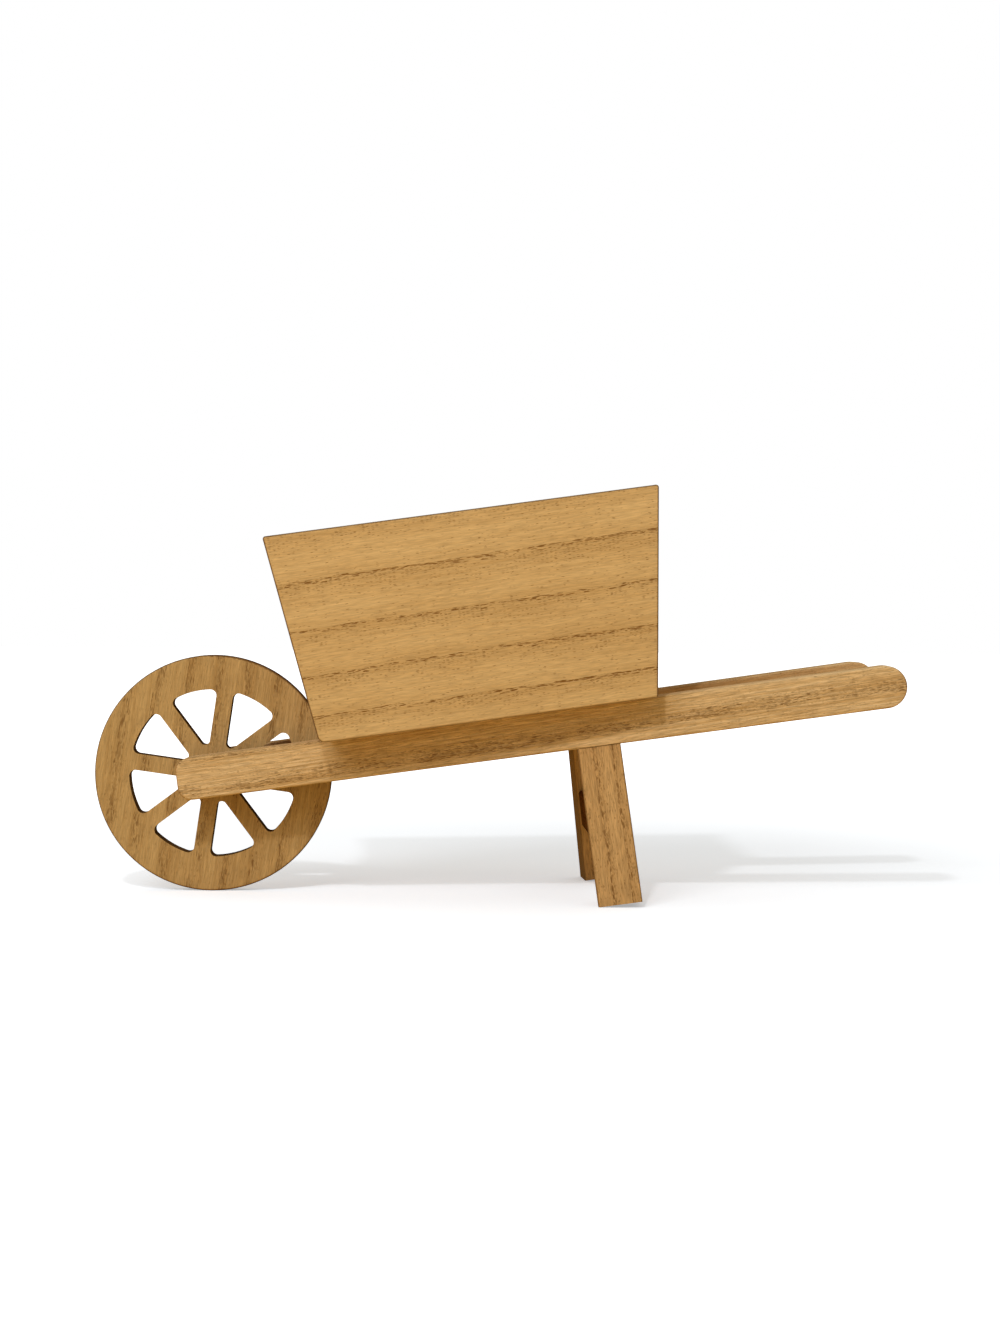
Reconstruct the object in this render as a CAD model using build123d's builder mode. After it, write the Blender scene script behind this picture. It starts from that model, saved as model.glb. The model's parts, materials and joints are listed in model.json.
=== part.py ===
from build123d import *
from math import asin, cos, radians, sin, sqrt, tan
import os

# A small wooden display wheelbarrow, in millimetres. X runs from the wheel to the handles, Y from the
# left side to the right, and Z is up. The origin is on the floor, under the middle of the object.

# Wheel: one flat disc with sector openings between its spokes
wheel_diameter = 105.4
wheel_thickness = 9.0
rim_width = 15.3
spoke_count = 8
spoke_width = 7.3
first_spoke_angle = 82.0
opening_rim_radius = 2.7
opening_hub_radius = 2.2

# Axle and the spacers that keep the wheel in the middle
axle_diameter = 8.0
axle_socket_depth = 7.0
spacer_diameter = 16.0
hub_gap = 24.0

# Shafts: battens that rise and spread from the wheel to the handles
shaft_length = 321.0
shaft_height = 18.5
shaft_thickness = 14.0
nose_overhang = 13.5
nose_corner_radius = 6.0
shaft_tilt = 8.1
shaft_spread = 3.2

# Tray: upright sides, leaning ends set back a little between them, and a floor that lies on the shafts
tray_offset = 51.0
tray_floor_length = 146.5
tray_depth = 90.5
tray_width = 100.0
end_lean = 7.7
end_reveal = 3.0
board_thickness = 6.0
floor_thickness = 6.0
panel_corner_radius = 1.2
panel_foot_radius = 3.5

# Legs, splayed outwards, and the stretcher between them
leg_offset = 162.0
leg_width = 19.0
leg_thickness = 18.0
leg_splay = 17.0
stretcher_height = 17.0
stretcher_thickness = 9.0
stretcher_drop = 23.5
stretcher_setback = 1.0

# Dowels and screws
panel_dowel_diameter = 3.0
panel_dowel_depth = 4.0
board_dowel_depth = 9.0
end_dowel_count = 2
end_dowel_margin = 16.0
floor_dowel_count = 3
floor_dowel_margin = 22.0
leg_dowel_diameter = 4.0
leg_dowel_length = 16.0
leg_dowel_spacing = 9.0
stretcher_dowel_diameter = 5.0
stretcher_dowel_length = 14.0
screw_length = 15.0
screw_shank_diameter = 3.5
screw_head_diameter = 7.0
screw_point_length = 4.0
screw_inset = 15.0
screw_countersink = 90
recess_span = 3.6
recess_slot = 0.9
recess_depth = 1.4

# Fits and eased edges
running_clearance = 0.05
side_clearance = 0.3
glue_clearance = 0.05
end_gap = 0.5
arris_radius = 1.0

# Angles in radians
tilt = radians(shaft_tilt)
spread = radians(shaft_spread)
splay = radians(leg_splay)
lean = radians(end_lean)
half_step = radians(180 / spoke_count)

# Overall length, from the front of the wheel to the tip of the handles
wheel_radius = wheel_diameter / 2
axle_radius = axle_diameter / 2
handle_radius = shaft_height / 2
handle_centre = shaft_length - nose_overhang - handle_radius
handle_round_reach = handle_radius * sqrt((cos(tilt) * cos(spread)) ** 2 + sin(tilt) ** 2)
axle_to_tip = handle_centre * cos(spread) * cos(tilt) + handle_round_reach
axle_x = wheel_radius - (wheel_radius + axle_to_tip) / 2

# The wheel stands upright on the floor, and the deck plane rises from its axle to the handles
to_left = Vector(0, -1, 0)
wheel_plane = Plane(origin=(axle_x, 0, wheel_radius), x_dir=(1, 0, 0), z_dir=to_left)
deck = Plane(
    origin=wheel_plane.origin,
    x_dir=(cos(tilt), 0, sin(tilt)),
    z_dir=(-sin(tilt), 0, cos(tilt)),
)

# The left shaft's inner face: x along the shaft, y up from its centre line, z out to the left
shaft_plane = Plane(
    origin=deck.from_local_coords((0, -hub_gap / 2, 0)),
    x_dir=deck.x_dir * cos(spread) - deck.y_dir * sin(spread),
    z_dir=deck.x_dir * -sin(spread) - deck.y_dir * cos(spread),
)

# The tray's lengthwise section, from its lower front edge: x towards the handles, y up
inner_width = tray_width - 2 * board_thickness
board_foot = board_thickness / cos(lean)
floor_start = end_reveal + board_foot
end_rise = tray_depth * tan(lean)
floor_rise = floor_thickness * tan(lean)
tray_section = Plane(
    origin=deck.from_local_coords((tray_offset, 0, shaft_height / 2)),
    x_dir=deck.x_dir,
    z_dir=to_left,
)
joint_plane = tray_section.offset(inner_width / 2)

# The left leg's top, on the underside of the shaft, and the way that the leg runs down from it
leg_section = leg_thickness / cos(splay)
leg_centre = (leg_offset + leg_width / 2, -shaft_height / 2, shaft_thickness - leg_section / 2)
leg_top_plane = Plane(
    origin=shaft_plane.from_local_coords(leg_centre),
    x_dir=shaft_plane.x_dir,
    z_dir=-shaft_plane.y_dir,
)
leg_run = shaft_plane.z_dir * sin(splay) - shaft_plane.y_dir * cos(splay)
leg_seat = min(leg_section, shaft_thickness)
leg_seat_centre = (leg_offset + leg_width / 2, -shaft_height / 2, shaft_thickness - leg_seat / 2)
leg_dowel_plane = Plane(
    origin=shaft_plane.from_local_coords(leg_seat_centre),
    x_dir=shaft_plane.x_dir,
    z_dir=shaft_plane.z_dir * sin(splay / 2) - shaft_plane.y_dir * cos(splay / 2),
)

# The leg ends where the front corner of its foot, cut parallel to the shaft, meets the floor
corner_along_deck = leg_offset * cos(spread) - shaft_thickness * sin(spread)
shaft_underside_height = wheel_radius + corner_along_deck * sin(tilt) - shaft_height / 2 * cos(tilt)
leg_drop = shaft_underside_height / (cos(tilt) + tan(splay) * sin(spread) * sin(tilt))

# The stretcher lies square across, its ends cut to the inner faces of the legs
leg_inner_plane = Plane(
    origin=shaft_plane.from_local_coords((leg_offset, -shaft_height / 2, shaft_thickness - leg_section)),
    x_dir=shaft_plane.x_dir,
    z_dir=-shaft_plane.z_dir * cos(splay) - shaft_plane.y_dir * sin(splay),
)
stretcher_depth = stretcher_drop + stretcher_height / 2
leg_inner_offset = shaft_thickness - leg_section + stretcher_depth * tan(splay)
stretcher_front = leg_offset * cos(spread) - leg_inner_offset * sin(spread) + stretcher_setback
stretcher_level = -shaft_height / 2 - stretcher_depth
stretcher_plane = Plane(
    origin=deck.from_local_coords((stretcher_front, 0, stretcher_level)),
    x_dir=(0, 1, 0),
    z_dir=deck.x_dir,
)
stretcher_axis = Axis(stretcher_plane.offset(stretcher_thickness / 2).origin, to_left)
stretcher_dowel_plane = Plane(
    origin=leg_inner_plane.intersect(stretcher_axis),
    x_dir=deck.x_dir,
    z_dir=to_left,
)
foot_reach = hub_gap / 2 + leg_offset * sin(spread) + shaft_thickness + leg_drop * tan(splay)


def evenly(first, last, count):
    """Places spaced evenly from first to last."""
    return [first + (last - first) * step / (count - 1) for step in range(count)]


def rounds(plane, points, radius):
    """Round sections at points of a plane, for pegs and for the holes that take them."""
    with BuildSketch(plane) as sections:
        with Locations(*points):
            Circle(radius)
    return sections.sketch


def save(builder, name):
    """Label a finished piece and write it to its own file."""
    builder.part.label = name
    export_step(builder.part, f"parts/{name}.step")


def save_pair(builder, name):
    """Write a left piece and its mirrored right twin."""
    save(builder, f"left_{name}")
    with BuildPart() as twin:
        mirror(builder.part, about=Plane.XZ)
    save(twin, f"right_{name}")


# Places of the dowels on the tray's inner faces, and of the screws over the left shaft
end_dowel_levels = evenly(end_dowel_margin, tray_depth - end_dowel_margin, end_dowel_count)
front_dowel_points = [
    (end_reveal + board_foot / 2 - level * tan(lean), level) for level in end_dowel_levels
]
rear_dowel_points = [(tray_floor_length - x, level) for x, level in front_dowel_points]
floor_dowel_places = evenly(floor_dowel_margin, tray_floor_length - floor_dowel_margin, floor_dowel_count)
floor_dowel_points = [(place, floor_thickness / 2) for place in floor_dowel_places]
leg_dowel_points = [(-leg_dowel_spacing / 2, 0), (leg_dowel_spacing / 2, 0)]
screw_places = [tray_offset + screw_inset, tray_offset + tray_floor_length - screw_inset]
screw_heads = [
    shaft_plane.from_local_coords((place, shaft_height / 2 + floor_thickness, shaft_thickness / 2))
    for place in screw_places
]
screw_planes = [Plane(origin=head, x_dir=deck.x_dir, z_dir=deck.z_dir) for head in screw_heads]
panel_dowel_hole = panel_dowel_diameter / 2 + glue_clearance
leg_dowel_hole = leg_dowel_diameter / 2 + glue_clearance
stretcher_dowel_hole = stretcher_dowel_diameter / 2 + glue_clearance
screw_hole = screw_shank_diameter / 2 + glue_clearance

os.makedirs("parts", exist_ok=True)

# One opening of the wheel, between two spokes, pointing along X
opening_radius = wheel_radius - rim_width
opening_tip = spoke_width / 2 / sin(half_step)
opening_half_angle = half_step - asin(spoke_width / 2 / opening_radius)
opening_corner = (opening_radius * cos(opening_half_angle), opening_radius * sin(opening_half_angle))
with BuildSketch() as opening:
    with BuildLine():
        Polyline((opening_corner[0], -opening_corner[1]), (opening_tip, 0), opening_corner)
        ThreePointArc(opening_corner, (opening_radius, 0), (opening_corner[0], -opening_corner[1]))
    make_face()
    fillet(opening.vertices().sort_by(Axis.X)[:1], opening_hub_radius)
    fillet(opening.vertices().sort_by(Axis.X)[-2:], opening_rim_radius)

# Spoked wheel, turning on its axle
with BuildPart() as spoked_wheel:
    with BuildSketch(wheel_plane):
        Circle(wheel_radius)
        Circle(axle_radius + running_clearance, mode=Mode.SUBTRACT)
        with PolarLocations(0, spoke_count, start_angle=first_spoke_angle + 180 / spoke_count):
            add(opening.sketch, mode=Mode.SUBTRACT)
    extrude(amount=wheel_thickness / 2, both=True)
    rim_edges = spoked_wheel.edges().filter_by(GeomType.CIRCLE).sort_by(SortBy.RADIUS)[-2:]
    fillet(rim_edges, arris_radius)
save(spoked_wheel, "spoked_wheel")

# Axle dowel, in blind sockets in both shafts
with BuildPart() as axle_dowel:
    with BuildSketch(wheel_plane):
        Circle(axle_radius)
    extrude(amount=hub_gap / 2 + axle_socket_depth - end_gap, both=True)
save(axle_dowel, "axle_dowel")

# Spacers on the axle, cut to the slant of the shafts
with BuildPart() as wheel_spacer:
    with BuildSketch(wheel_plane.offset(wheel_thickness / 2 + side_clearance)):
        Circle(spacer_diameter / 2)
        Circle(axle_radius + glue_clearance, mode=Mode.SUBTRACT)
    extrude(amount=hub_gap / 2)
    split(bisect_by=shaft_plane, keep=Keep.BOTTOM)
save_pair(wheel_spacer, "wheel_spacer")

# Shafts: square nose with rounded corners, fully rounded handle
with BuildPart() as shaft:
    with BuildSketch(shaft_plane) as shaft_side:
        with BuildLine():
            Polyline(
                (handle_centre, handle_radius),
                (-nose_overhang, shaft_height / 2),
                (-nose_overhang, -shaft_height / 2),
                (handle_centre, -handle_radius),
            )
            ThreePointArc(
                (handle_centre, -handle_radius),
                (handle_centre + handle_radius, 0),
                (handle_centre, handle_radius),
            )
        make_face()
        fillet(shaft_side.vertices().group_by(Axis.X)[0], nose_corner_radius)
    extrude(amount=shaft_thickness)
    fillet(shaft.faces().sort_by(SortBy.AREA)[-2:].edges(), arris_radius)
    extrude(
        rounds(wheel_plane, [(0, 0)], axle_radius + glue_clearance),
        amount=hub_gap / 2 + axle_socket_depth,
        mode=Mode.SUBTRACT,
    )
    for screw_plane in screw_planes:
        extrude(
            rounds(screw_plane, [(0, 0)], screw_hole),
            amount=-screw_length - end_gap,
            mode=Mode.SUBTRACT,
        )
    extrude(
        rounds(leg_dowel_plane, leg_dowel_points, leg_dowel_hole),
        amount=leg_dowel_length / 2 + end_gap,
        both=True,
        mode=Mode.SUBTRACT,
    )
save_pair(shaft, "shaft")

# Legs: slanted battens under the shafts, sawn off parallel to them
with BuildPart() as leg:
    with BuildSketch(leg_top_plane):
        Rectangle(leg_width, leg_section)
    extrude(amount=leg_drop / cos(splay), dir=leg_run)
    fillet(leg.edges().filter_by(Axis(leg_top_plane.origin, leg_run)), arris_radius)
    extrude(
        rounds(leg_dowel_plane, leg_dowel_points, leg_dowel_hole),
        amount=leg_dowel_length / 2 + end_gap,
        both=True,
        mode=Mode.SUBTRACT,
    )
    extrude(
        rounds(stretcher_dowel_plane, [(0, 0)], stretcher_dowel_hole),
        amount=stretcher_dowel_length / 2 + end_gap,
        both=True,
        mode=Mode.SUBTRACT,
    )
save_pair(leg, "leg")

# Dowels between the shafts and the legs
with BuildPart() as leg_dowels:
    extrude(
        rounds(leg_dowel_plane, leg_dowel_points, leg_dowel_diameter / 2),
        amount=leg_dowel_length / 2,
        both=True,
    )
    mirror(about=Plane.XZ)
save(leg_dowels, "leg_dowels")

# Stretcher between the legs
with BuildPart() as leg_stretcher:
    with BuildSketch(stretcher_plane):
        Rectangle(foot_reach, stretcher_height, align=(Align.MAX, Align.CENTER))
    extrude(amount=stretcher_thickness)
    fillet(leg_stretcher.edges().filter_by(Axis.Y), arris_radius)
    split(bisect_by=leg_inner_plane, keep=Keep.TOP)
    extrude(
        rounds(stretcher_dowel_plane, [(0, 0)], stretcher_dowel_hole),
        amount=stretcher_dowel_length / 2 + end_gap,
        both=True,
        mode=Mode.SUBTRACT,
    )
    mirror(about=Plane.XZ)
save(leg_stretcher, "leg_stretcher")

# Dowels between the stretcher and the legs
with BuildPart() as stretcher_dowels:
    extrude(
        rounds(stretcher_dowel_plane, [(0, 0)], stretcher_dowel_diameter / 2),
        amount=stretcher_dowel_length / 2,
        both=True,
    )
    mirror(about=Plane.XZ)
save(stretcher_dowels, "stretcher_dowels")

# Side panels of the tray, with a rounder corner at the lower front
with BuildPart() as side_panel:
    with BuildSketch(joint_plane) as panel_side:
        with BuildLine():
            Polyline(
                (0, 0),
                (tray_floor_length, 0),
                (tray_floor_length + end_rise, tray_depth),
                (-end_rise, tray_depth),
                close=True,
            )
        make_face()
        fillet(panel_side.vertices().sort_by_distance((0, 0))[1:], panel_corner_radius)
        fillet(panel_side.vertices().sort_by_distance((0, 0))[:1], panel_foot_radius)
    extrude(amount=board_thickness)
    outer_face = side_panel.faces().sort_by(Axis.Y)[0]
    rim_face = side_panel.faces().sort_by(Axis(deck.origin, deck.z_dir))[-1]
    fillet(outer_face.edges() + rim_face.edges().filter_by(Axis(deck.origin, deck.x_dir))[-1:], arris_radius)
    extrude(
        rounds(joint_plane, front_dowel_points + rear_dowel_points + floor_dowel_points, panel_dowel_hole),
        amount=panel_dowel_depth + end_gap,
        mode=Mode.SUBTRACT,
    )
save_pair(side_panel, "side_panel")


def end_board_outline(turn, origin):
    """Corners of an end board's section: turn is 1 at the front and -1 at the rear of the tray."""
    corners = [
        (end_reveal, 0),
        (floor_start, 0),
        (floor_start - end_rise, tray_depth),
        (end_reveal - end_rise, tray_depth),
    ]
    return [(origin + turn * x, y) for x, y in corners]


# Front and rear boards, leaning outwards between the side panels, with their blind dowels
end_boards = [
    ("front_board", end_board_outline(1, 0), front_dowel_points),
    ("rear_board", end_board_outline(-1, tray_floor_length), rear_dowel_points),
]
for board_name, outline, dowel_points in end_boards:
    with BuildPart() as end_board:
        with BuildSketch(tray_section):
            with BuildLine():
                Polyline(*outline, close=True)
            make_face()
        extrude(amount=inner_width / 2)
        cross_edges = end_board.edges().filter_by(Axis.Y)
        fillet(cross_edges.group_by(Axis(deck.origin, deck.z_dir))[-1], arris_radius)
        extrude(
            rounds(joint_plane, dowel_points, panel_dowel_hole),
            amount=-board_dowel_depth - end_gap,
            mode=Mode.SUBTRACT,
        )
        mirror(about=Plane.XZ)
    save(end_board, board_name)

# Floor board between the four sides, screwed down to the shafts
with BuildPart() as floor_board:
    with BuildSketch(tray_section):
        with BuildLine():
            Polyline(
                (floor_start, 0),
                (tray_floor_length - floor_start, 0),
                (tray_floor_length - floor_start + floor_rise, floor_thickness),
                (floor_start - floor_rise, floor_thickness),
                close=True,
            )
        make_face()
    extrude(amount=inner_width / 2)
    with Locations(*screw_planes):
        CounterSinkHole(
            screw_hole,
            screw_head_diameter / 2 + glue_clearance,
            depth=floor_thickness + end_gap,
            counter_sink_angle=screw_countersink,
        )
    extrude(
        rounds(joint_plane, floor_dowel_points, panel_dowel_hole),
        amount=-board_dowel_depth - end_gap,
        mode=Mode.SUBTRACT,
    )
    mirror(about=Plane.XZ)
save(floor_board, "floor_board")

# Blind dowels from the side panels into the front board, the rear board and the floor
dowel_groups = [
    ("front_board_dowels", front_dowel_points),
    ("rear_board_dowels", rear_dowel_points),
    ("floor_dowels", floor_dowel_points),
]
for group_name, dowel_points in dowel_groups:
    with BuildPart() as dowel_group:
        extrude(
            rounds(joint_plane.offset(panel_dowel_depth), dowel_points, panel_dowel_diameter / 2),
            amount=-panel_dowel_depth - board_dowel_depth,
        )
        mirror(about=Plane.XZ)
    save(dowel_group, group_name)

# Countersunk screws with a crossed recess, from the tray's floor into the shafts
head_radius = screw_head_diameter / 2
shank_radius = screw_shank_diameter / 2
head_height = (head_radius - shank_radius) / tan(radians(screw_countersink / 2))
with BuildPart() as tray_screws:
    for screw_plane in screw_planes:
        with BuildSketch(Plane(origin=screw_plane.origin, x_dir=deck.x_dir, z_dir=to_left)):
            with BuildLine():
                Polyline(
                    (0, 0),
                    (head_radius, 0),
                    (shank_radius, -head_height),
                    (shank_radius, screw_point_length - screw_length),
                    (0, -screw_length),
                    close=True,
                )
            make_face()
        revolve(axis=Axis(screw_plane.origin, deck.z_dir))
        with BuildSketch(screw_plane):
            Rectangle(recess_span, recess_slot)
            Rectangle(recess_slot, recess_span)
        extrude(amount=-recess_depth, mode=Mode.SUBTRACT)
    mirror(about=Plane.XZ)
save(tray_screws, "tray_screws")
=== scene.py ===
# %% [markdown]
# # A small wooden display wheelbarrow
#
# The pieces of this wheelbarrow arrive as finished solids: shafts, legs, tray boards, wheel, dowels. Each
# has its real size and place, so nothing here moves them. What is left to do is what an eye and a hand
# would notice: open-grained wood that runs a different way in every piece, cut ends that soak up more oil,
# real screws, and the light of a plain studio.
#
# Everything is in metres. X runs from the wheel to the handles, Y away from the camera, and Z is up.

# %% Load the pieces
import bpy
import json
import math
import numpy as np
from mathutils import Matrix, Vector


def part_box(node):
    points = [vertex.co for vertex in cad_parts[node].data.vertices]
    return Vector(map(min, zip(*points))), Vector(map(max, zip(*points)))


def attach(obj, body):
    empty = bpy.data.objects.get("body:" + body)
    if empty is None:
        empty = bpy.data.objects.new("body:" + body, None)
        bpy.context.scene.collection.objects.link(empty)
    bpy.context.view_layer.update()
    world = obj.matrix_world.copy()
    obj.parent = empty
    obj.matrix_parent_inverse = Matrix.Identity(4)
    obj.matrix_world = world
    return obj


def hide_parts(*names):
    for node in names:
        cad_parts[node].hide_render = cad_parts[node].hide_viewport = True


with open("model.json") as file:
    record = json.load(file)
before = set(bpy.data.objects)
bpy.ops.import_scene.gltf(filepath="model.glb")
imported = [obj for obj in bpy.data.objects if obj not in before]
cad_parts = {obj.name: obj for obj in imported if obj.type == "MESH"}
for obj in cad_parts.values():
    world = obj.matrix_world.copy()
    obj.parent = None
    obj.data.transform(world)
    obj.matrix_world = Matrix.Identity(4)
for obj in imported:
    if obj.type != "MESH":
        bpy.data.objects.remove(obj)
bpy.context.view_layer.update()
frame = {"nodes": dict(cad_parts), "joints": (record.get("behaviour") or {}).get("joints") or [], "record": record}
nodes = frame["nodes"]
scene = bpy.context.scene
scene.view_settings.view_transform = "Standard"

# %% [markdown]
# ## Directions that the pieces follow
#
# Wood is never the same in all directions, so each board needs to know which way its tree grew. The slope
# of the tray comes from the tray floor's own mount, and the wheel's centre from its joint. A long piece
# tells its direction by itself: the middle of one end to the middle of the other.

# %% Measure the slope, the axle and the long pieces
millimetre = 0.001
deck_up = Vector(frame["record"]["mounts"][0]["axis"]).normalized()
across = Vector((0, 1, 0))
deck_along = across.cross(deck_up).normalized()
axle_point = Vector(frame["joints"][0]["pos_m"])


def corners_of(name):
    """All the corner points of a piece, one per row."""
    points = np.empty(len(nodes[name].data.vertices) * 3, np.float32)
    nodes[name].data.vertices.foreach_get("co", points)
    return points.reshape(-1, 3)


def middle_of(name):
    """The middle of a piece's box."""
    low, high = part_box(name)
    return (low + high) / 2


def run_of(name, roughly, end_share=0.04):
    """The way a long piece runs, from the middle of one end to the middle of the other."""
    points = corners_of(name)
    reach = points @ np.array(roughly)
    slack = (reach.max() - reach.min()) * end_share
    near_end = points[reach < reach.min() + slack]
    far_end = points[reach > reach.max() - slack]
    start = (near_end.min(0) + near_end.max(0)) / 2
    stop = (far_end.min(0) + far_end.max(0)) / 2
    return Vector(stop - start).normalized()


shaft_runs = {side: run_of(f"{side}_shaft", deck_along) for side in ("left", "right")}
leg_runs = {side: run_of(f"{side}_leg", -deck_up) for side in ("left", "right")}
print("deck slope", round(math.degrees(math.asin(deck_along.z)), 2), "degrees")
print("leg runs", {side: tuple(round(c, 3) for c in run) for side, run in leg_runs.items()})

# %% [markdown]
# ## The camera
#
# The view is from the left side, almost level with the tray and about a metre away. Distance and lens go
# together: the distance settles how much of the far shaft and far leg shows past the near ones, and the
# lens then settles how large the whole thing is. Turning the camera by its three plain angles, instead of
# aiming it at a target, keeps the small roll that a hand-placed camera has.

# %% Set up the camera
image_height_px = 1333
focal_length_px = 2200
sensor_mm = 36
camera_place = Vector((-0.03146, -0.98951, 0.12589))
camera_turn = math.radians(1.948)
camera_dip = math.radians(1.429)
camera_roll = math.radians(0.498)

camera_data = bpy.data.cameras.new("studio_camera")
camera_data.sensor_width = sensor_mm
camera_data.lens = focal_length_px * sensor_mm / image_height_px
camera = bpy.data.objects.new("studio_camera", camera_data)
scene.collection.objects.link(camera)
camera.matrix_world = (
    Matrix.Translation(camera_place)
    @ Matrix.Rotation(-camera_turn, 4, "Z")
    @ Matrix.Rotation(math.pi / 2 - camera_dip, 4, "X")
    @ Matrix.Rotation(camera_roll, 4, "Z")
)
scene.camera = camera
print("camera lens", round(camera_data.lens, 2), "mm")

# %% [markdown]
# ## Short ways to build node trees
#
# Wood like this takes dozens of small nodes. A few helpers keep that readable: one places any node and
# fills or links its inputs, one does arithmetic, one eases a value from one range to another, and one mixes
# two colours.

# %% Helpers: place, calculate, ease, mix


def place(tree, kind, inputs=None, **settings):
    """Add a node, set its properties, and fill or link its inputs."""
    node = tree.nodes.new(kind)
    for name, value in settings.items():
        setattr(node, name, value)
    for name, value in (inputs or {}).items():
        if isinstance(value, bpy.types.NodeSocket):
            tree.links.new(value, node.inputs[name])
        else:
            node.inputs[name].default_value = value
    return node


def calc(tree, operation, first, second=0.0, third=0.0):
    """One step of arithmetic."""
    return place(tree, "ShaderNodeMath", {0: first, 1: second, 2: third}, operation=operation).outputs[0]


def ease(tree, value, start, stop, low=0.0, high=1.0):
    """Ease a value that runs from start to stop into the range from low to high."""
    wanted = {"Value": value, "From Min": start, "From Max": stop, "To Min": low, "To Max": high}
    return place(tree, "ShaderNodeMapRange", wanted, interpolation_type="SMOOTHSTEP").outputs["Result"]


def opaque(colour):
    """A plain colour with full cover; a socket stays as it is."""
    return colour if isinstance(colour, bpy.types.NodeSocket) else (*colour, 1.0)


def blend(tree, share, first, second, how="MIX"):
    """Mix two colours by a share. The Mix node keeps its two colours in sockets 6 and 7."""
    wanted = {"Factor": share, 6: opaque(first), 7: opaque(second)}
    return place(tree, "ShaderNodeMix", wanted, data_type="RGBA", blend_type=how).outputs[2]


# %% [markdown]
# Noise is the raw material of every pattern here. Giving its patches a length, a height and a depth in
# millimetres keeps them at the size of real wood. What several materials share goes into a node group,
# whose inputs and outputs have names.

# %% Helpers: noise and node groups


def stretched(tree, vector, sizes):
    """Divide a place by the length, height and depth of one patch of a pattern."""
    shares = tuple(1 / size for size in sizes)
    return place(tree, "ShaderNodeVectorMath", {0: vector, 1: shares}, operation="MULTIPLY").outputs[0]


def cloud(tree, vector, sizes, detail=2.0):
    """Soft noise between 0 and 1 whose patches have these sizes, in millimetres."""
    wanted = {"Vector": stretched(tree, vector, sizes), "Scale": 1.0, "Detail": detail}
    return place(tree, "ShaderNodeTexNoise", wanted).outputs["Fac"]


def new_group(name, inputs, outputs):
    """Start a node group and return its tree, its input sockets by name and its output node."""
    tree = bpy.data.node_groups.new(name, "ShaderNodeTree")
    for label, value in inputs.items():
        kind = "NodeSocketVector" if value is None else "NodeSocketFloat"
        socket = tree.interface.new_socket(label, in_out="INPUT", socket_type=kind)
        if value is not None:
            socket.default_value = value
    for label in outputs:
        tree.interface.new_socket(label, in_out="OUTPUT", socket_type="NodeSocketFloat")
    entry = tree.nodes.new("NodeGroupInput")
    leave = tree.nodes.new("NodeGroupOutput")
    return tree, {label: entry.outputs[label] for label in inputs}, leave


def put_out(tree, leave, results):
    """Link the results to the group's outputs."""
    for label, socket in results.items():
        tree.links.new(socket, leave.inputs[label])


# %% [markdown]
# ## Growth rings
#
# A board is a slice of a log, so its figure is three-dimensional: the line on its face, the line over its
# edge and the arc on its end are one and the same ring. Painting each face would never make them meet. So
# the pattern is worked out in the log itself, in millimetres: x runs up the trunk, and the distance from x
# is the ring's radius. The radius wanders a little along the trunk, as it does in a tree. Trees also grow
# slower as they age, so from the ring called Start on, Narrowing makes each ring thinner than the last.
#
# What comes out is Season, which runs from 0 where a ring's growth begins in spring to 1 where it ends, and
# Year, a number of its own for each ring.

# %% Group: growth rings
slow_patch = (110, 34, 34)
quick_patch = (9, 4, 4)
quick_share = 0.45
swing_per_wander = 3.0
noise_middle = 0.5

ring_inputs = {"Place": None, "Ring width": 10.0, "Wander": 1.5, "Start": 0.0, "Narrowing": 0.0}
rings, given, leave = new_group("growth_rings", ring_inputs, ["Season", "Year"])
slow_drift = calc(rings, "SUBTRACT", cloud(rings, given["Place"], slow_patch), noise_middle)
quick_drift = calc(rings, "SUBTRACT", cloud(rings, given["Place"], quick_patch, detail=3.0), noise_middle)
drift = calc(rings, "MULTIPLY_ADD", quick_drift, quick_share, slow_drift)
swing = calc(rings, "MULTIPLY", given["Wander"], swing_per_wander)
in_log = place(rings, "ShaderNodeSeparateXYZ", {0: given["Place"]})
height = calc(rings, "MULTIPLY_ADD", drift, swing, in_log.outputs["Y"])
depth = in_log.outputs["Z"]
depth_squared = calc(rings, "MULTIPLY", depth, depth)
radius = calc(rings, "SQRT", calc(rings, "MULTIPLY_ADD", height, height, depth_squared))
even_count = calc(rings, "DIVIDE", radius, given["Ring width"])
from_start = calc(rings, "SUBTRACT", even_count, given["Start"])
narrowed = calc(rings, "MULTIPLY", calc(rings, "MULTIPLY", from_start, from_start), given["Narrowing"])
ring_count = calc(rings, "ADD", even_count, narrowed)
whole_rings = calc(rings, "FLOOR", ring_count)
year = place(rings, "ShaderNodeTexWhiteNoise", {"W": whole_rings}, noise_dimensions="1D")
put_out(rings, leave, {"Season": calc(rings, "FRACT", ring_count), "Year": year.outputs["Value"]})
print("growth_rings has", len(rings.nodes), "nodes")

# %% [markdown]
# ## Open pores
#
# The wood is ring-porous: each spring it grows one or two rows of wide vessels, and the saw opens them as
# short dark grooves along the grain. They make the jagged lines on the tray. Smaller vessels follow, ever
# sparser, through the summer. A cell pattern, drawn out along the trunk, gives one vessel per cell, and a
# cell's own random number decides whether its vessel is there, by how early in the season it lies. On a
# sawn end the same cells show as round holes.
#
# Length and Size stretch and swell the vessels, because a batten cut at a slant through them shows short
# dots, and one cut along them shows long lines. The first step bends the places a little, so that no vessel
# is perfectly straight, and then applies both.

# %% Group: open pores, where the vessels lie
sway_patch = (7, 3, 3)
sway_reach = (0, 1.5, 1.5)

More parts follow.
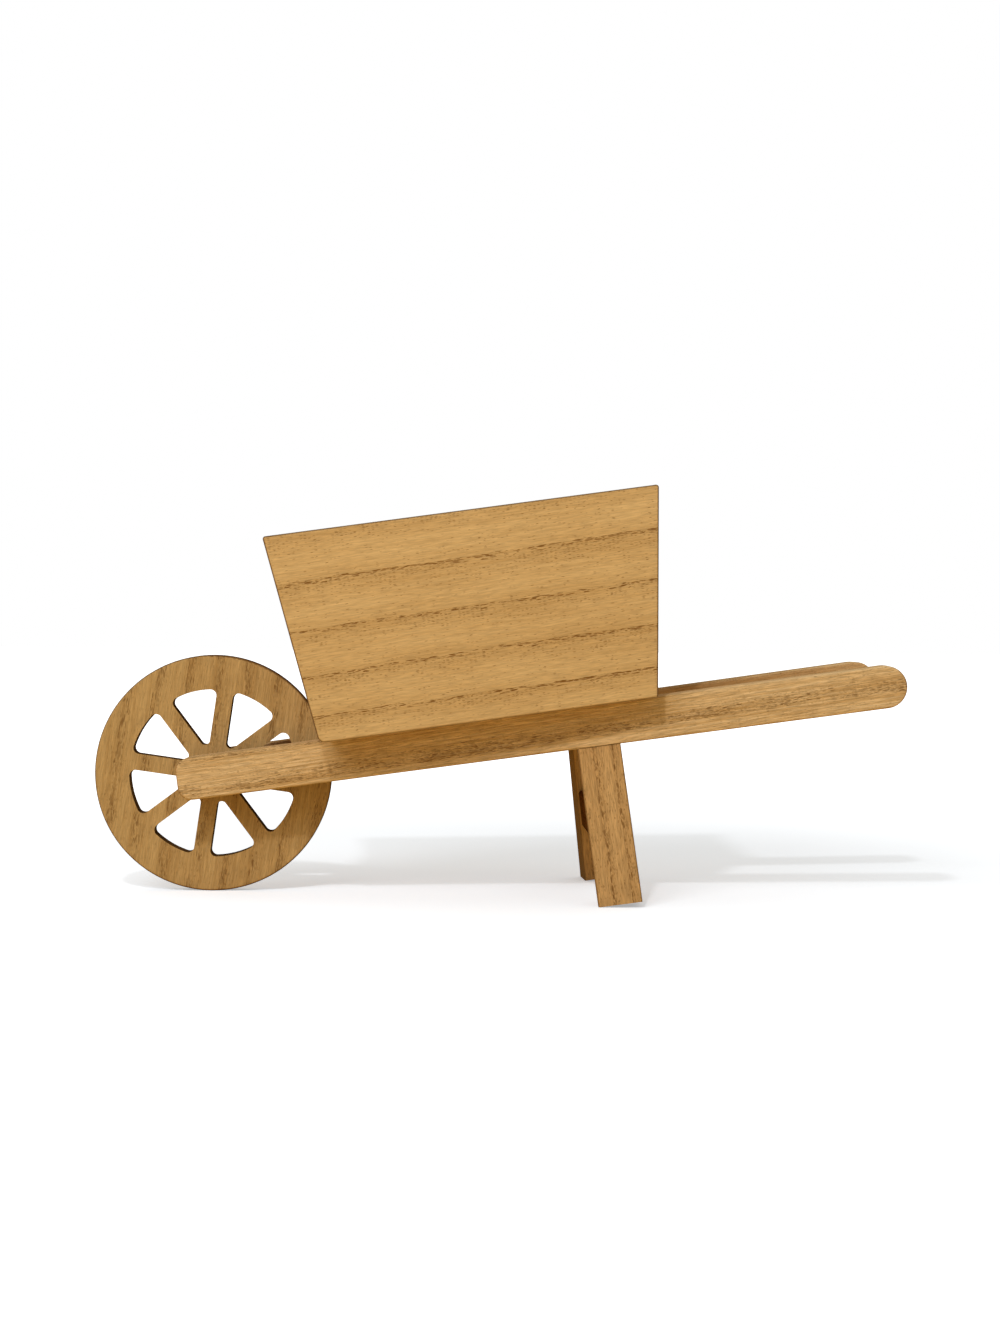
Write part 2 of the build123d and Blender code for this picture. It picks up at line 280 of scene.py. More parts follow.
pore_inputs = {
    "Place": None, "Season": 0.0, "Spring": 0.1, "Scatter": 0.2, "Size": 1.0, "Length": 1.0, "Patchy": 0.4,
}
pores, given, leave = new_group("open_pores", pore_inputs, ["Wide", "Fine"])
sway_place = stretched(pores, given["Place"], sway_patch)
sway = place(pores, "ShaderNodeTexNoise", {"Vector": sway_place, "Scale": 1.0, "Detail": 1.0})
push_parts = {0: sway.outputs["Color"], 1: sway_reach}
push = place(pores, "ShaderNodeVectorMath", push_parts, operation="MULTIPLY")
bent = place(pores, "ShaderNodeVectorMath", {0: given["Place"], 1: push.outputs[0]})
thinner = calc(pores, "DIVIDE", 1.0, given["Size"])
shorter = calc(pores, "DIVIDE", thinner, given["Length"])
shares = place(pores, "ShaderNodeCombineXYZ", {0: shorter, 1: thinner, 2: thinner})
sized = place(pores, "ShaderNodeVectorMath", {0: bent.outputs[0], 1: shares.outputs[0]}, operation="MULTIPLY")
print("open_pores bends its vessels by up to", sway_reach[1], "mm")

# %% [markdown]
# Each pattern of vessels then needs a share: how many of its cells are filled at this place. Drawing single
# vessels by hand would be endless, and a share that falls with the season gives the rows and the flecks at
# once. Patchy thins the rows of wide vessels in places, so that a line fades and comes back along the board.

# %% Group: open pores, rows and flecks
wide_vessel, wide_rim = (4.6, 0.62, 0.62), (0.36, 0.54)
fine_vessel, fine_rim = (2.2, 0.31, 0.31), (0.3, 0.48)
row_patch, row_contrast = (22, 6, 6), (0.36, 0.58)
fleck_patch, fleck_contrast, fleck_range = (17, 5, 5), (0.3, 0.68), (0.45, 1.3)
full_row_share = 0.2
summer_end, late_share = 0.55, 0.16
least_filled = 0.5


def vessels(tree, vector, sizes, share, rim):
    """Grooves in a share of the cells of a pattern: up to 1 in a groove and 0 beyond its rim."""
    cells = place(tree, "ShaderNodeTexVoronoi", {"Vector": stretched(tree, vector, sizes), "Scale": 1.0})
    own = place(tree, "ShaderNodeSeparateColor", {0: cells.outputs["Color"]})
    there = calc(tree, "LESS_THAN", own.outputs[0], share)
    groove = ease(tree, cells.outputs["Distance"], *rim, 1.0, 0.0)
    filled = calc(tree, "MULTIPLY_ADD", own.outputs[1], 1 - least_filled, least_filled)
    return calc(tree, "MULTIPLY", calc(tree, "MULTIPLY", there, groove), filled)


full_until = calc(pores, "MULTIPLY", given["Spring"], full_row_share)
spring_row = ease(pores, given["Season"], given["Spring"], full_until)
weakest_row = calc(pores, "SUBTRACT", 1.0, given["Patchy"])
row_strength = ease(pores, cloud(pores, given["Place"], row_patch), *row_contrast, weakest_row, 1.0)
wide_share = calc(pores, "MULTIPLY", spring_row, row_strength)
summer_fall = ease(pores, given["Season"], 0.0, summer_end, 1.0, late_share)
fleck_strength = ease(pores, cloud(pores, given["Place"], fleck_patch), *fleck_contrast, *fleck_range)
fine_share = calc(pores, "MULTIPLY", calc(pores, "MULTIPLY", summer_fall, given["Scatter"]), fleck_strength)
put_out(pores, leave, {
    "Wide": vessels(pores, sized.outputs[0], wide_vessel, wide_share, wide_rim),
    "Fine": vessels(pores, sized.outputs[0], fine_vessel, fine_share, fine_rim),
})
print("open_pores has", len(pores.nodes), "nodes")

# %% [markdown]
# ## Fibres and cut faces
#
# Between the pores the wood is all fibres: clouds of tone, long streaks about a millimetre wide, and a fine
# brushed line inside them. Each is the same soft noise, drawn out along the trunk by another amount.

# %% Group: fibres
cloud_patch = (60, 13, 13)
streak_patch = (32, 1.2, 1.2)
brush_patch = (5.5, 0.36, 0.36)

fibres, given, leave = new_group("fibres", {"Place": None}, ["Clouds", "Streaks", "Brushing"])
put_out(fibres, leave, {
    "Clouds": cloud(fibres, given["Place"], cloud_patch),
    "Streaks": cloud(fibres, given["Place"], streak_patch, detail=3.0),
    "Brushing": cloud(fibres, given["Place"], brush_patch),
})
print("fibres has", len(fibres.nodes), "nodes")

# %% [markdown]
# A second group looks at which way a surface faces on its piece. Faces that cut across the trunk are end
# grain, which drinks oil and turns dark. Faces that look along none of the piece's three directions are its
# eased edges, which handling darkens. Faces that look neither to the front nor to the back of a board are
# its sawn edges, and the back is the side that is turned away from show. Marking the faces one by one would
# work too, but the direction is already there, and it follows round edges smoothly.

# %% Group: cut faces
end_grain_range = (0.25, 0.8)
arris_range = (0.985, 0.8)
sawn_range = (0.9, 0.4)
back_range = (-0.6, -0.95)

cuts, given, leave = new_group("cut_faces", {"Facing": None}, ["End grain", "Arris", "Sawn edge", "Back"])
size_of = place(cuts, "ShaderNodeVectorMath", {0: given["Facing"]}, operation="ABSOLUTE")
facing = place(cuts, "ShaderNodeSeparateXYZ", {0: size_of.outputs[0]})
signed = place(cuts, "ShaderNodeSeparateXYZ", {0: given["Facing"]})
side_on = calc(cuts, "MAXIMUM", facing.outputs["Y"], facing.outputs["Z"])
squarely = calc(cuts, "MAXIMUM", facing.outputs["X"], side_on)
put_out(cuts, leave, {
    "End grain": ease(cuts, facing.outputs["X"], *end_grain_range),
    "Arris": ease(cuts, squarely, *arris_range),
    "Sawn edge": ease(cuts, facing.outputs["Y"], *sawn_range),
    "Back": ease(cuts, signed.outputs["Y"], *back_range),
})
print("cut_faces has", len(cuts.nodes), "nodes")

# %% [markdown]
# ## A wood finish for one piece
#
# Each piece is sawn from its own place in its own log, so each gets a material of its own. The first step
# lays the log around the piece. It takes the direction of the trunk, the direction towards the bark, the
# direction that the broad face looks, and a point of the piece with its distance from the heart of the tree.

# %% Lay the log around a piece


def axes_turn(first, second):
    """The turn that lays x along the first direction and y as near as it can to the second."""
    first = first.normalized()
    second = (second - first * second.dot(first)).normalized()
    return Matrix((first, second, first.cross(second))).transposed().to_euler()


def lay_log(tree, trunk, bark, face, at, heart_distance):
    """Where a point lies in its log, in millimetres, and which way a surface looks on its piece."""
    log_turn = axes_turn(trunk, bark)
    coordinates = tree.nodes.new("ShaderNodeTexCoord")
    in_log = place(tree, "ShaderNodeMapping", {
        "Vector": coordinates.outputs["Object"],
        "Location": at - log_turn.to_matrix().col[1] * heart_distance,
        "Rotation": log_turn,
        "Scale": (millimetre,) * 3,
    }, vector_type="TEXTURE")
    on_piece = place(tree, "ShaderNodeMapping", {
        "Vector": coordinates.outputs["Normal"],
        "Rotation": axes_turn(trunk, face),
    }, vector_type="TEXTURE")
    return in_log.outputs[0], on_piece.outputs[0]


# %% [markdown]
# The bare wood runs between a light and a dark tone. It is dark in spring, pale in summer and dark again
# in a line where the year ends, and streaks and clouds lie over that.

# %% How dark the bare wood is
summer_start, autumn_start = 0.6, 0.7
middle_tone, summer_paler, spring_darker, autumn_darker = 0.25, 0.15, 0.19, 0.2
year_weight = 0.12
fibre_weights = {"Streaks": (0.28, 0.74, 0.5), "Clouds": (0.3, 0.7, 0.25)}


def bare_tone(tree, ring, fibre, banding, streaked):
    """A share that runs from the light tone, 0, to the dark one, 1."""
    season = ring.outputs["Season"]
    summer_tone = middle_tone - summer_paler * banding
    spring_tone = middle_tone + spring_darker * banding
    tone = ease(tree, season, summer_start, 0.0, summer_tone, spring_tone)
    tone = calc(tree, "ADD", tone, ease(tree, season, autumn_start, 1.0, 0.0, autumn_darker * banding))
    tone = calc(tree, "MULTIPLY_ADD", ring.outputs["Year"], year_weight, tone)
    for output, (low, high, weight) in fibre_weights.items():
        shade = ease(tree, fibre.outputs[output], low, high)
        tone = calc(tree, "MULTIPLY_ADD", shade, weight * streaked, tone)
    return tone


# %% [markdown]
# Then come the marks of the workshop, and some painted shade. Cut ends and eased edges darken, and a back can be
# darkened with painted shade. Walls that a hot blade cut are scorched, and on the legs the same darkening of
# the sawn walls is painted shade. Along some edges the smoke of that blade has left a thin dark line.

# %% Stains, scorch and smoke
end_stain = 0.6
# The scorch-and-shade tone darkens sawn walls: real scorch on the tray and wheel, painted shade on the legs. The
# smoke lines use it too.
scorched_tone = (0.045, 0.02, 0.006)
# The painted back shade is a dark reddish tone, laid as painted shade on the inner faces of the shafts where they
# face each other.
painted_back_shade_tone = (0.33, 0.120, 0.028)
scorch_contrast, scorch_least = (0.3, 0.7), 0.8
smoke_width, smoke_strength = 0.9 * millimetre, 0.7


def laid_over(tree, colour, mask, strength, tone, how="MIX"):
    """Lay a tone over a colour where a mask is set."""
    return blend(tree, calc(tree, "MULTIPLY", mask, strength), colour, tone, how)


def worked(tree, colour, cut, fibre, dark, hollow, finish):
    """Mark a colour by how its piece was cut and handled, and lay on the painted shade that its finish asks for.
    """
    colour = laid_over(tree, colour, cut.outputs["End grain"], end_stain, dark, "MULTIPLY")
    colour = laid_over(tree, colour, cut.outputs["Arris"], finish["arris"], hollow)
    # painted shade on a piece's back, the face turned inwards
    if finish["painted_back_shade"]:
        colour = laid_over(tree, colour, cut.outputs["Back"], finish["painted_back_shade"], painted_back_shade_tone)
    # sawn walls darken: scorch on the tray and wheel, painted shade on the legs
    scorch = finish["scorch"]
    if scorch:
        darkened_edge = ease(tree, fibre.outputs["Streaks"], *scorch_contrast, scorch, scorch_least * scorch)
        colour = laid_over(tree, colour, cut.outputs["Sawn edge"], darkened_edge, scorched_tone)
    for outward, reach in finish["smoked_edges"]:
        own_place = tree.nodes.new("ShaderNodeTexCoord").outputs["Object"]
        towards = {0: own_place, 1: outward}
        beyond = place(tree, "ShaderNodeVectorMath", towards, operation="DOT_PRODUCT").outputs["Value"]
        smoke = ease(tree, beyond, reach - smoke_width, reach, 0.0, smoke_strength)
        colour = blend(tree, smoke, colour, scorched_tone)
    return colour


# %% [markdown]
# A piece of wood differs from the next in many small ways. Every option has a plain value here, and a piece
# names only what differs. The finish is a thin oil, so there is little shine: a strong one would lay a grey
# veil over every shaded face.

# %% Options of a finish
plain_finish = {
    "narrowing": 0.0,  # how fast the rings grow thinner
    "wander": 1.5,  # how far the rings stray
    "banding": 1.0,  # how much the seasons differ in tone
    "spring": 0.07,  # share of a ring that has wide vessels
    "scatter": 0.4,  # share of cells that have a fine vessel
    "patchy": 0.4,  # how far the rows of vessels fade in places
    "pore_size": 1.0,  # how wide the vessels are
    "pore_length": 1.0,  # how long they are for their width
    "pore_depth": 1.0,  # how dark they are
    "brushed": 0.5,  # contrast of the brushed lines
    "streaked": 1.0,  # contrast of streaks and clouds
    "ridged": 0.0,  # how high the streaks stand
    "arris": 0.35,  # how dark the eased edges are
    # painted_back_shade is painted shade: how dark a piece's back is painted
    "painted_back_shade": 0.0,  # how dark the back is
    # scorch darkens the sawn edges: scorch on the tray and wheel, painted shade on the legs
    "scorch": 0.0,  # how dark the sawn edges are
    "smoked_edges": (),  # pairs of a direction and how far the piece reaches in it
    "gloss": 0.12,  # how much the oil shines
}
print("a finish has", len(plain_finish), "options")

# %% [markdown]
# The last function mixes all of this into colour, gloss and relief. Open pores are dark, rough and sunk, and
# fibres stand up a little. That relief is only a bump: it bends the light but not the outline, which is
# right for grooves much finer than a millimetre.

# %% Function: wood
brush_contrast = (0.25, 0.75)
fine_depth = 0.7
smooth, streak_rough, groove_rough = 0.52, 0.14, 0.3
fibre_height = 0.2
relief_strength, relief_depth = 0.5, 0.25 * millimetre


def wood(name, trunk, bark, face, at, rings_in, ring_width, tones, **changes):
    """A ring-porous wood: tones are its light, dark and pore colours, the ring width is in millimetres."""
    finish = {**plain_finish, **changes}
    light, dark, hollow = tones
    material = bpy.data.materials.new(name)
    material.use_nodes = True
    tree = material.node_tree
    heart_distance = rings_in * ring_width * millimetre
    in_log, on_piece = lay_log(tree, trunk, bark, face, at, heart_distance)

    ring = place(tree, "ShaderNodeGroup", {
        "Place": in_log,
        "Ring width": ring_width,
        "Wander": finish["wander"],
        "Start": rings_in,
        "Narrowing": finish["narrowing"],
    }, node_tree=rings)
    pore = place(tree, "ShaderNodeGroup", {
        "Place": in_log,
        "Season": ring.outputs["Season"],
        "Spring": finish["spring"],
        "Scatter": finish["scatter"],
        "Size": finish["pore_size"],
        "Length": finish["pore_length"],
        "Patchy": finish["patchy"],
    }, node_tree=pores)
    fibre = place(tree, "ShaderNodeGroup", {"Place": in_log}, node_tree=fibres)
    cut = place(tree, "ShaderNodeGroup", {"Facing": on_piece}, node_tree=cuts)

    tone = bare_tone(tree, ring, fibre, finish["banding"], finish["streaked"])
    half_brushed = finish["brushed"] / 2
    brushing = ease(tree, fibre.outputs["Brushing"], *brush_contrast, 1 - half_brushed, 1 + half_brushed)
    brushed = {0: blend(tree, tone, light, dark), "Scale": brushing}
    colour = place(tree, "ShaderNodeVectorMath", brushed, operation="SCALE").outputs[0]
    fine_dark = calc(tree, "MULTIPLY", pore.outputs["Fine"], fine_depth * finish["pore_depth"])
    wide_dark = calc(tree, "MULTIPLY", pore.outputs["Wide"], finish["pore_depth"])
    groove = calc(tree, "MAXIMUM", fine_dark, wide_dark)
    colour = worked(tree, blend(tree, groove, colour, hollow), cut, fibre, dark, hollow, finish)

    sheen = calc(tree, "MULTIPLY_ADD", fibre.outputs["Streaks"], streak_rough, smooth)
    roughness = calc(tree, "MULTIPLY_ADD", groove, groove_rough, sheen)
    sunk = calc(tree, "MULTIPLY", groove, -1.0)
    relief = calc(tree, "MULTIPLY_ADD", fibre.outputs["Brushing"], fibre_height, sunk)
    relief = calc(tree, "MULTIPLY_ADD", fibre.outputs["Streaks"], finish["ridged"], relief)
    bump_inputs = {"Strength": relief_strength, "Distance": relief_depth, "Height": relief}
    bump = place(tree, "ShaderNodeBump", bump_inputs)
    surface = tree.nodes["Principled BSDF"]
    tree.links.new(colour, surface.inputs["Base Color"])
    tree.links.new(roughness, surface.inputs["Roughness"])
    tree.links.new(bump.outputs[0], surface.inputs["Normal"])
    surface.inputs["Specular IOR Level"].default_value = finish["gloss"]
    return material


def dress(name, material):
    """Give a piece its finish."""
    piece = nodes[name]
    piece.data.materials.clear()
    piece.data.materials.append(material)


print("groups ready:", sorted(group.name for group in bpy.data.node_groups))

# %% [markdown]
# ## The tray
#
# The two side panels are cut along the plank, with growth lines about 20 mm apart that run nearly parallel
# to the rim. Their spring side is above, so the fine pores trail off below each line. Smoke has darkened
# the panels' rim and ends. One material could serve both panels, but a log that lies the same way in both
# would show, so each has its own.

# %% Side panel woods
tray_tones = ((0.697, 0.465, 0.205), (0.48, 0.277, 0.095), (0.215, 0.095, 0.021))
panel_slope = math.radians(1.0)
panel_grain = deck_along * math.cos(panel_slope) + deck_up * math.sin(panel_slope)
panel_bark = {"left": -deck_up + across * 0.25, "right": -deck_up * 0.9 - across * 0.3}
panel_rings = {"left": 28.178, "right": 18.4}
panel_ring_width = 24.15
panel_finish = {
    "narrowing": 0.0705, "wander": 1.3, "spring": 0.12, "scatter": 0.45,
    "pore_size": 0.8, "pore_length": 1.1, "pore_depth": 1.25,
    "brushed": 0.3, "streaked": 0.55, "scorch": 0.45,
}


def reach_of(name, way):
    """How far a piece reaches in a direction."""
    return float((corners_of(name) @ np.array(way)).max())


rim_height = reach_of("left_side_panel", deck_up)
board_rise = {end: run_of(f"{end}_board", deck_up) for end in ("front", "rear")}
panel_edges = [deck_up, board_rise["front"].cross(across), across.cross(board_rise["rear"])]
for side in ("left", "right"):
    panel = f"{side}_side_panel"
    panel_middle = middle_of(panel)
    rim_point = panel_middle + deck_up * (rim_height - panel_middle.dot(deck_up))
    dress(panel, wood(
        f"{side}_panel_wood", panel_grain, panel_bark[side], across, rim_point,
        panel_rings[side], panel_ring_width, tray_tones,
        smoked_edges=[(way, reach_of(panel, way)) for way in panel_edges], **panel_finish,
    ))
print("side panels have", len(panel_edges), "smoked edges each")

# %% [markdown]
# The end boards and the floor come from the same plank, turned so that each is strong the way it spans.

# %% End board and floor woods
end_ring_width, floor_ring_width = 17.0, 14.0
board_rings = {"front": 12.3, "rear": 15.8}
floor_rings = 9.4
board_finish = {"spring": 0.14, "scatter": 0.55, "brushed": 0.42, "streaked": 0.6}
for end in ("front", "rear"):
    board_face = across.cross(board_rise[end])
    board_bark = board_rise[end] + deck_along * 0.3
    dress(f"{end}_board", wood(
        f"{end}_board_wood", across, board_bark, board_face, middle_of(f"{end}_board"),
        board_rings[end], end_ring_width, tray_tones, scorch=0.45, **board_finish,
    ))
dress("floor_board", wood(
    "floor_board_wood", deck_along, across + deck_up * 0.35, deck_up, middle_of("floor_board"),
    floor_rings, floor_ring_width, tray_tones, **board_finish,
))
print("tray woods for", [name for name in nodes if "panel" in name or name.endswith("board")])

# %% [markdown]
# ## Shafts, legs and stretcher
#
# The battens are sawn from narrower stock. Each shaft shows one broad band of fine pores, which climbs a
# little from nose to handle because the batten was sawn at a slant, and its streaks stand up as raised
# grain. The slant is put into the direction of the trunk, so the band comes out right on every face.

# %% Shaft woods
shaft_tones = ((0.81, 0.578, 0.312), (0.53, 0.322, 0.130), (0.17, 0.077, 0.019))
shaft_slant = math.radians(1.2)
shaft_rings = {"left": 10.07, "right": 10.6}
shaft_ring_width = 13.0
# The inner faces of both shafts get painted shade through painted_back_shade, for the shade between them.
shaft_finish = {
    "wander": 1.0, "banding": 0.5, "spring": 0.5, "scatter": 0.7, "patchy": 0.97,
    "pore_size": 0.56, "pore_length": 1.3, "pore_depth": 0.85,
    "streaked": 0.95, "ridged": 6.0, "arris": 0.0, "painted_back_shade": 0.3, "gloss": 0.0,
}
outwards = {"left": -across, "right": across}
for side in ("left", "right"):
    shaft_grain = shaft_runs[side] * math.cos(shaft_slant) + deck_up * math.sin(shaft_slant)
    shaft_bark = deck_up + outwards[side] * 0.5
    dress(f"{side}_shaft", wood(
        f"{side}_shaft_wood", shaft_grain, shaft_bark, outwards[side], middle_of(f"{side}_shaft"),
        shaft_rings[side], shaft_ring_width, shaft_tones, **shaft_finish,
    ))
print("shaft grain climbs", round(math.degrees(shaft_slant), 1), "degrees along the batten")

# %% [markdown]
# On the legs the vessels show as short dots, as where a saw cuts through them at a slant, and they stand in
# dark lines down each face. Shorter vessels give the same look as a tilted log, and keep the lines
# straight. The legs' sawn edges are darkened as painted shade, for the shade under the tray. The stretcher
# gets dark tones all over as painted shade, for the shade between the legs, and needs no more than that.

# %% Leg and stretcher woods
leg_tones = ((0.58, 0.352, 0.145), (0.39, 0.210, 0.072), (0.18, 0.085, 0.023))
# The stretcher's tones are painted shade: dark all over, for the shade between the legs under the tray.
stretcher_shade_tones = ((0.16, 0.062, 0.014), (0.10, 0.035, 0.007), (0.04, 0.014, 0.003))
leg_rings = {"left": 18.38, "right": 22.6}
stretcher_rings = 14.5
leg_ring_width, stretcher_ring_width = 8.6, 7.5
# The legs' scorch darkens their narrow front and rear faces as painted shade, for the shade under the tray.
leg_finish = {
    "wander": 0.8, "banding": 0.7, "spring": 0.22, "scatter": 1.0, "patchy": 0.3,
    "pore_size": 1.1, "pore_length": 0.7, "streaked": 0.4, "scorch": 0.5, "gloss": 0.0,
}
for side in ("left", "right"):
    dress(f"{side}_leg", wood(
        f"{side}_leg_wood", leg_runs[side], deck_along, across, middle_of(f"{side}_leg"),
        leg_rings[side], leg_ring_width, leg_tones, **leg_finish,
    ))
dress("leg_stretcher", wood(
    "stretcher_wood", across, deck_up + deck_along * 0.4, deck_along, middle_of("leg_stretcher"),
    stretcher_rings, stretcher_ring_width, stretcher_shade_tones, brushed=0.7, gloss=0.0,
))
print("leg woods for", [name for name in nodes if name.endswith("leg")], "and the stretcher")

# %% [markdown]
# ## The wheel
#
# The wheel is one disc, sawn out of a board whose grain stands nearly upright here. The grain runs straight
# through rim and spokes, because all are one board; spokes with a grain of their own would look glued in.
# Its pores gather in loose bands with plain wood between them. Its openings and its rim were cut with a hot
# blade, which scorched their walls dark brown and left its faces pale.

# %% Wheel wood
wheel_tones = ((0.585, 0.388, 0.167), (0.40, 0.234, 0.084), (0.17, 0.080, 0.022))
wheel_lean = math.radians(8)
wheel_grain = Vector((math.sin(wheel_lean), 0, math.cos(wheel_lean)))
wheel_bark = Vector((math.cos(wheel_lean), 0.2, -math.sin(wheel_lean)))
wheel_rings, wheel_ring_width = 14.45, 13.0
wheel_finish = {
    "wander": 2.6, "banding": 0.7, "spring": 0.36, "scatter": 0.6, "patchy": 0.98,
    "pore_size": 0.56, "pore_length": 1.9, "pore_depth": 0.85,
    "brushed": 0.35, "streaked": 0.75, "scorch": 0.86, "gloss": 0.0,
}
dress("spoked_wheel", wood(
    "wheel_wood", wheel_grain, wheel_bark, across, axle_point,
    wheel_rings, wheel_ring_width, wheel_tones, **wheel_finish,
))
print("wheel grain leans", round(math.degrees(wheel_lean)), "degrees from upright")

# %% [markdown]
# ## Dowels and spacers
#
# Dowels are turned from a pale, close-grained wood, so the same recipe is used with narrow rings and small
# pores. They run across the barrow, except those that go up from the legs into the shafts.

# %% Dowel woods
dowel_tones = ((0.60, 0.40, 0.20), (0.47, 0.29, 0.125), (0.30, 0.16, 0.055))
dowel_rings, dowel_ring_width = 30.5, 1.8
dowel_runs = {name: across for name in nodes if "dowel" in name or "spacer" in name}
dowel_runs["leg_dowels"] = deck_up
for name, dowel_run in dowel_runs.items():
    dress(name, wood(
        f"{name}_wood", dowel_run, deck_along, deck_along, middle_of(name),
        dowel_rings, dowel_ring_width, dowel_tones, wander=0.4, pore_size=0.5,
    ))
print("dowel woods for", sorted(dowel_runs))

# %% [markdown]
# ## Screws
#
# Four countersunk screws hold the tray down on the shafts. The solids have a smooth shank and a recess with
# straight walls, and a screw is known by its thread and its tapered cross. All four are alike, so one is
# made with Geometry Nodes and set on four points, each turned as far as the screwdriver happened to leave
# it. The points and the screw's length are measured on the plain screws that it stands for.

# %% Measure the plain screws
to_deck = np.array((deck_along, across, deck_up)).T
in_deck = corners_of("tray_screws") @ to_deck
halfway = (in_deck.min(0) + in_deck.max(0)) / 2
screw_tops = []
for rear in (False, True):
    for right in (False, True):
        own = in_deck[((in_deck[:, 0] > halfway[0]) == rear) & ((in_deck[:, 1] > halfway[1]) == right)]
        low, high = own.min(0), own.max(0)
        top = np.array(((low[0] + high[0]) / 2, (low[1] + high[1]) / 2, high[2]))
        screw_tops.append(tuple(to_deck @ top))
head_diameter = float(high[0] - low[0])
screw_length = float(high[2] - low[2])
print(len(screw_tops), "screws", round(screw_length / millimetre, 2), "mm long")
print("heads", round(head_diameter / millimetre, 2), "mm across")

# %% [markdown]
# The finish is zinc plate: bright metal with a faint mottled bloom, duller where the bloom is thick. One
# patch of noise drives both colour and roughness, because on the real plate both come from the same film.

# %% Zinc plate
bright_zinc, dull_zinc = (0.66, 0.67, 0.66), (0.46, 0.45, 0.41)
bloom_patch, scratch_patch = (1.4, 1.4, 1.4), (0.12, 0.9, 0.9)
mottle_contrast, dull_contrast = (0.35, 0.7), (0.3, 0.75)
polished, dulled = 0.24, 0.46
scratch_strength, scratch_depth = 0.25, 0.05 * millimetre

zinc = bpy.data.materials.new("zinc_plate")
zinc.use_nodes = True
tree = zinc.node_tree
coordinates = tree.nodes.new("ShaderNodeTexCoord")
in_millimetres = place(tree, "ShaderNodeMapping", {
    "Vector": coordinates.outputs["Object"],
    "Scale": (millimetre,) * 3,
}, vector_type="TEXTURE").outputs[0]
bloom = cloud(tree, in_millimetres, bloom_patch, detail=4.0)
scratches = cloud(tree, in_millimetres, scratch_patch)
surface = tree.nodes["Principled BSDF"]
surface.inputs["Metallic"].default_value = 1.0
mottled = blend(tree, ease(tree, bloom, *mottle_contrast), bright_zinc, dull_zinc)
tree.links.new(mottled, surface.inputs["Base Color"])
tree.links.new(ease(tree, bloom, *dull_contrast, polished, dulled), surface.inputs["Roughness"])
bump_inputs = {"Strength": scratch_strength, "Distance": scratch_depth, "Height": scratches}
tree.links.new(place(tree, "ShaderNodeBump", bump_inputs).outputs[0], surface.inputs["Normal"])
print("zinc_plate has", len(tree.nodes), "nodes")

# %% [markdown]
# The tree below makes the screw with its head's top at the origin, pointing down. It starts with the sizes
# as named inputs, and with short ways to halve a size, to make a cone and to move a shape down.

# %% Geometry Nodes: the screw's sizes
screw_sizes = {
    "Head diameter": head_diameter,
    "Core diameter": 0.0023,
    "Thread diameter": 0.0035,
    "Length": screw_length,
    "Pitch": 0.0014,
    "Recess width": 0.0042,
    "Recess depth": 0.0021,
}
screw_tree = bpy.data.node_groups.new("countersunk_screws", "GeometryNodeTree")
screw_face = screw_tree.interface
screw_face.new_socket("Points", in_out="INPUT", socket_type="NodeSocketGeometry")
screw_sockets = {}
for label in screw_sizes:
    screw_sockets[label] = screw_face.new_socket(label, in_out="INPUT", socket_type="NodeSocketFloat")
screw_sockets["Seed"] = screw_face.new_socket("Seed", in_out="INPUT", socket_type="NodeSocketInt")
screw_face.new_socket("Screws", in_out="OUTPUT", socket_type="NodeSocketGeometry")
size = screw_tree.nodes.new("NodeGroupInput").outputs
leave = screw_tree.nodes.new("NodeGroupOutput")


def reckon(operation, first, second):
    """One step of arithmetic in the screw's tree."""
    return calc(screw_tree, operation, first, second)


def cone(sides, top, bottom, depth):
    """A closed cone that stands on the origin."""
    wanted = {"Vertices": sides, "Radius Top": top, "Radius Bottom": bottom, "Depth": depth}
    return place(screw_tree, "GeometryNodeMeshCone", wanted).outputs["Mesh"]


def lowered(geometry, drop, scale=(1, 1, 1)):
    """Move a shape down, after a scale."""
    offset = place(screw_tree, "ShaderNodeCombineXYZ", {"Z": reckon("MULTIPLY", drop, -1.0)})
    wanted = {"Geometry": geometry, "Translation": offset.outputs[0], "Scale": scale}
    return place(screw_tree, "GeometryNodeTransform", wanted).outputs[0]


head_radius, core_radius, thread_radius, recess_radius = (
    reckon("MULTIPLY", size[label], 0.5)
    for label in ("Head diameter", "Core diameter", "Thread diameter", "Recess width")
)
print("screw sizes:", sorted(screw_sizes))

# %% [markdown]
# The head is a cone with a crossed recess: two flattened pyramids are cut out of it, as the punch would do.

# %% Geometry Nodes: the head
head_sides = 40
blade_sides = 4
blade_shapes = ((1, 0.3, 1), (0.3, 1, 1))
blade_share = 0.98

head_depth = reckon("SUBTRACT", head_radius, core_radius)
head = lowered(cone(head_sides, head_radius, core_radius, head_depth), head_depth)
blade = cone(blade_sides, recess_radius, 0.0, size["Recess depth"])
blade_drop = reckon("MULTIPLY", size["Recess depth"], blade_share)
cutting = {"operation": "DIFFERENCE", "solver": "EXACT"}
punched = place(screw_tree, "GeometryNodeMeshBoolean", {"Mesh 1": head}, **cutting)
for shape in blade_shapes:
    screw_tree.links.new(lowered(blade, blade_drop, shape), punched.inputs["Mesh 2"])
print("the head has", len(blade_shapes), "blades cut out of it")

# %% [markdown]
# The core ends in a point, and the thread is a small four-sided section that follows a spiral round the
# core. It starts a little above the point and ends short of the head.

# %% Geometry Nodes: core, point and thread
core_sides = 24
tip_radius = 0.0001
point_share = 1.5
spiral_steps = 24
thread_sides = 4
thread_clear, thread_start = 2.0, 1.2

